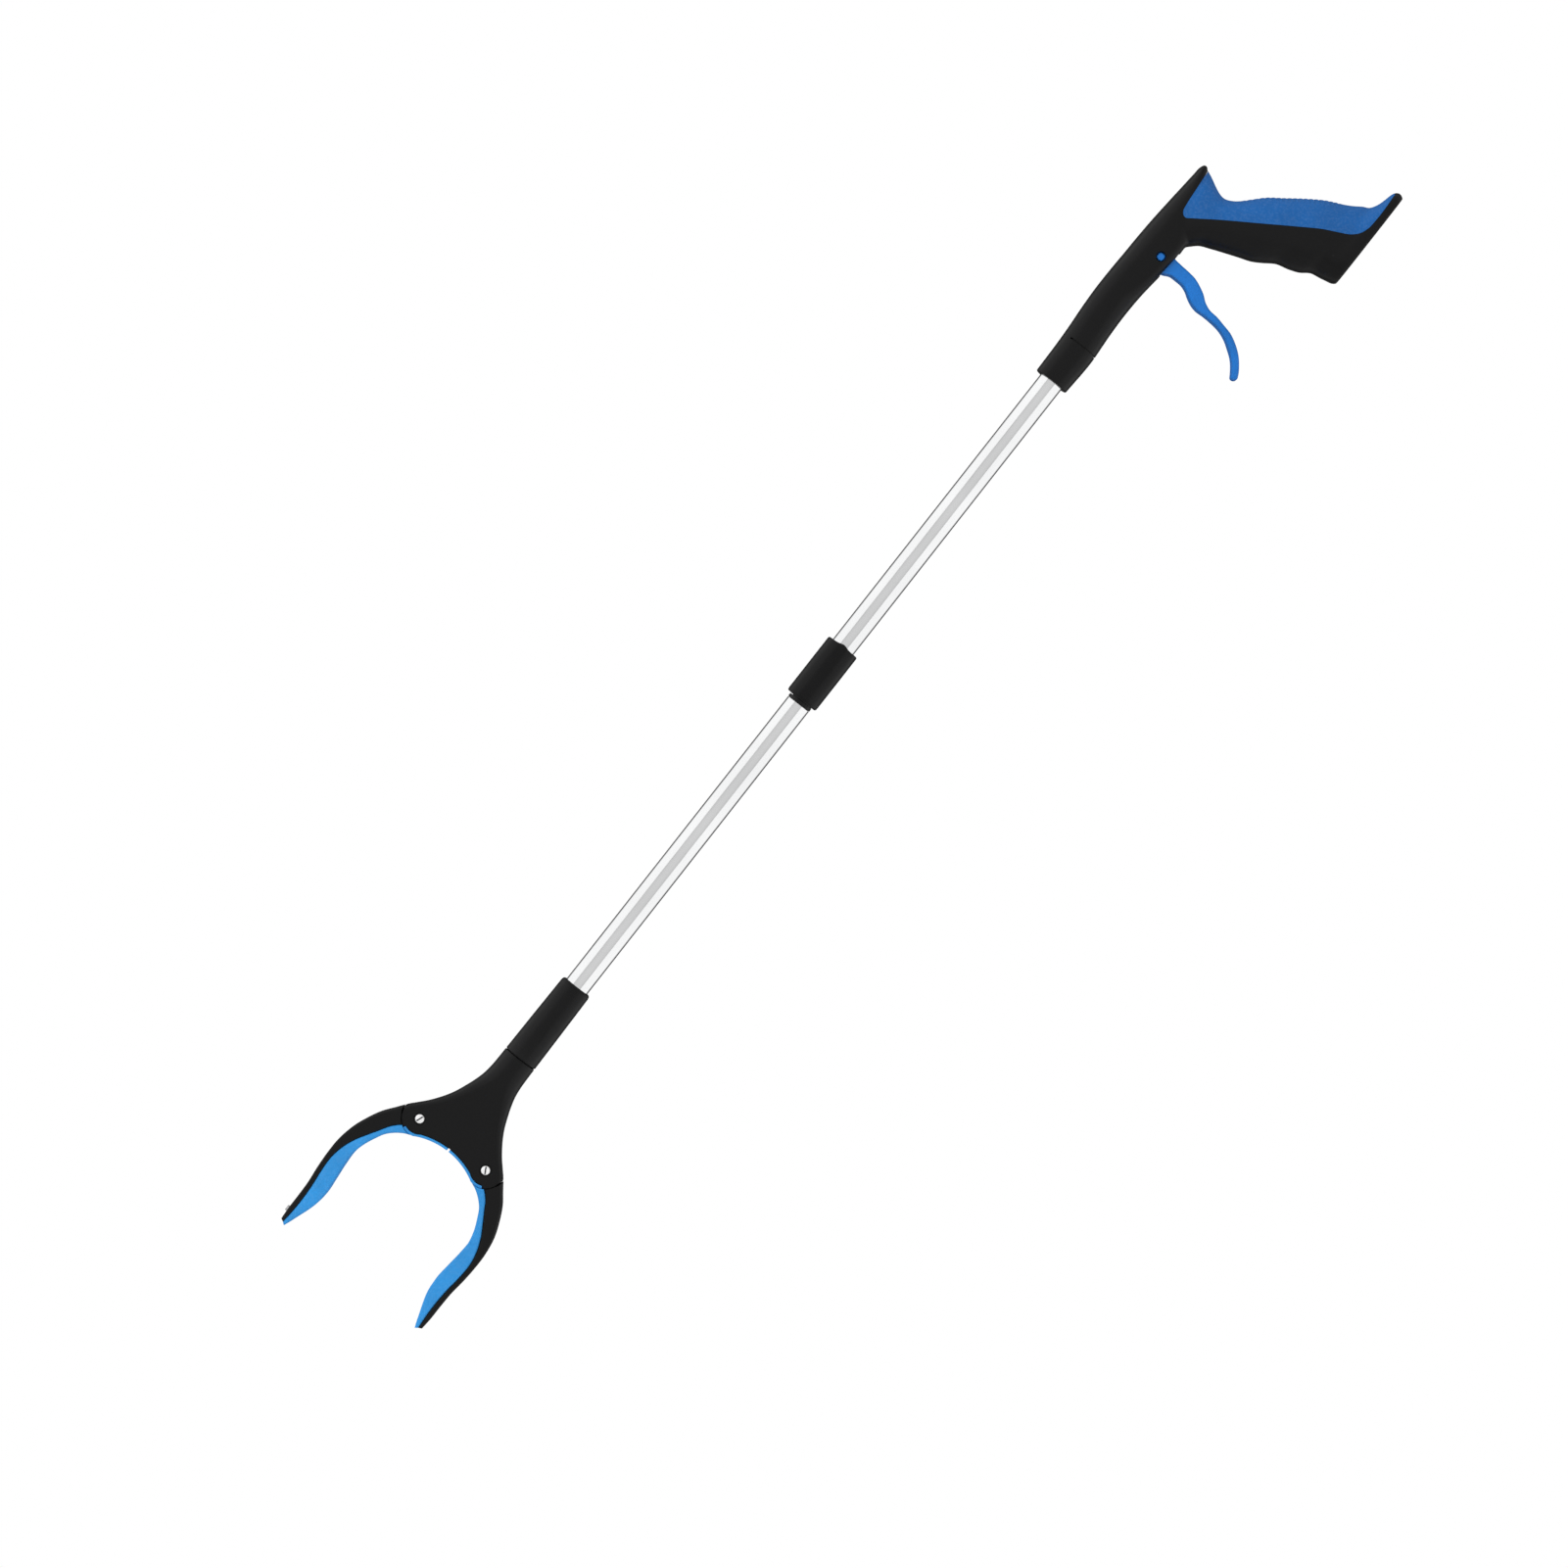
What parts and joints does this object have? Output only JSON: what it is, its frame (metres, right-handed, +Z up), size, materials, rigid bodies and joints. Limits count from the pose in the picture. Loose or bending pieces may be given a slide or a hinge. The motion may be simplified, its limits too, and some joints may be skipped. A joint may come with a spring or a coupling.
{
  "type": "reacher grabber",
  "caption": "Long reacher grabber: pistol grip with squeeze trigger, folding aluminium tube with a lock sleeve, and a swivelling head with curved padded jaws.",
  "frame": {"origin": "centre of the flat end of the grip, which the grabber stands on", "axes": "+X along the tube from the jaws to the handle, +Z up from the grip end to the tube, +Y to the side away from the pivot screws' slotted heads"},
  "size_m": [0.8893, 0.0316, 0.153],
  "materials": {
    "black_plastic": "fine moulded satin black",
    "grip_rubber": "soft blue overmould, matt",
    "trigger_plastic": "semi-gloss blue",
    "pad_rubber": "matt light blue",
    "aluminium": "bright anodised",
    "steel": "bright plated",
    "natural_nylon": "plain moulded"
  },
  "bodies": {
    "handle": {"handle_shell_left": "black_plastic", "handle_shell_right": "black_plastic", "grip_pad_left": "grip_rubber", "grip_pad_right": "grip_rubber", "handle_screw_1": "steel", "handle_screw_2": "steel", "handle_screw_3": "steel", "handle_screw_4": "steel", "upper_tube": "aluminium", "upper_tube_rivet": "steel", "cable_guide_bush": "natural_nylon", "upper_knuckle": "black_plastic", "upper_knuckle_rivet": "steel", "fold_hinge_pin": "steel"},
    "trigger": {"trigger": "trigger_plastic"},
    "cable_upper": {"pull_cable_upper": "steel", "cable_nipple_rear": "steel"},
    "sleeve": {"lock_sleeve": "black_plastic"},
    "lower_arm": {"lower_knuckle": "black_plastic", "lower_knuckle_rivet": "steel", "lower_tube": "aluminium", "neck_collar": "black_plastic", "neck_collar_screw": "steel", "swivel_snap_ring": "steel"},
    "cable_lower": {"pull_cable_lower": "steel", "cable_ferrule_front": "steel"},
    "head": {"head_shell_front": "black_plastic", "head_shell_rear": "black_plastic", "head_screw_1": "steel", "head_screw_2": "steel", "head_screw_3": "steel", "pivot_screw_upper": "steel", "pivot_screw_lower": "steel", "pivot_nut_upper": "steel", "pivot_nut_lower": "steel", "pivot_bush_upper": "natural_nylon", "pivot_bush_lower": "natural_nylon", "palm_strip_upper": "pad_rubber", "palm_strip_lower": "pad_rubber", "jaw_opening_spring": "steel", "spring_seat_washer": "steel"},
    "crosshead": {"crosshead": "natural_nylon"},
    "jaw_upper": {"jaw_upper": "black_plastic", "jaw_pad_upper": "pad_rubber", "tip_magnet": "steel"},
    "jaw_lower": {"jaw_lower": "black_plastic", "jaw_pad_lower": "pad_rubber"}
  },
  "joints": [
    {"name": "trigger_pull", "type": "hinge", "parent": "handle", "child": "trigger", "pos_m": [-0.0845, 0, 0.0918], "axis": [0, -1, 0], "range_deg": [0, 30]},
    {"name": "upper_cable_slide", "type": "slide", "parent": "handle", "child": "cable_upper", "axis": [1, 0, 0], "range_m": [0, 0.0035]},
    {"name": "fold", "type": "hinge", "parent": "handle", "child": "lower_arm", "pos_m": [-0.4181, 0, 0.1038], "axis": [0, 1, 0], "range_deg": [0, 165]},
    {"name": "sleeve_slide", "type": "slide", "parent": "handle", "child": "sleeve", "axis": [1, 0, 0], "range_m": [0, 0.042]},
    {"name": "lower_cable_slide", "type": "slide", "parent": "lower_arm", "child": "cable_lower", "axis": [1, 0, 0], "range_m": [0, 0.0035]},
    {"name": "head_swivel", "type": "hinge", "parent": "lower_arm", "child": "head", "pos_m": [-0.6933, 0, 0.0973], "axis": [1, 0, 0], "range_deg": [0, 90]},
    {"name": "crosshead_slide", "type": "slide", "parent": "head", "child": "crosshead", "axis": [1, 0, 0], "range_m": [0, 0.0035], "deforming": ["jaw_opening_spring"]},
    {"name": "jaw_upper_close", "type": "hinge", "parent": "head", "child": "jaw_upper", "pos_m": [-0.7575, 0, 0.1221], "axis": [0, -1, 0], "range_deg": [0, 27.5]},
    {"name": "jaw_lower_close", "type": "hinge", "parent": "head", "child": "jaw_lower", "pos_m": [-0.7575, 0, 0.0725], "axis": [0, 1, 0], "range_deg": [0, 27.5]}
  ],
  "couplings": [
    {"joint": "upper_cable_slide", "follows": "trigger_pull", "m_per_rad": 0.006665},
    {"joint": "lower_cable_slide", "follows": "trigger_pull", "m_per_rad": 0.006665},
    {"joint": "crosshead_slide", "follows": "trigger_pull", "m_per_rad": 0.006665},
    {"joint": "jaw_upper_close", "follows": "trigger_pull", "ratio": 0.91666},
    {"joint": "jaw_lower_close", "follows": "trigger_pull", "ratio": 0.91666},
    {"joint": "sleeve_slide", "follows": "fold", "m_per_rad": 0.014584}
  ]
}
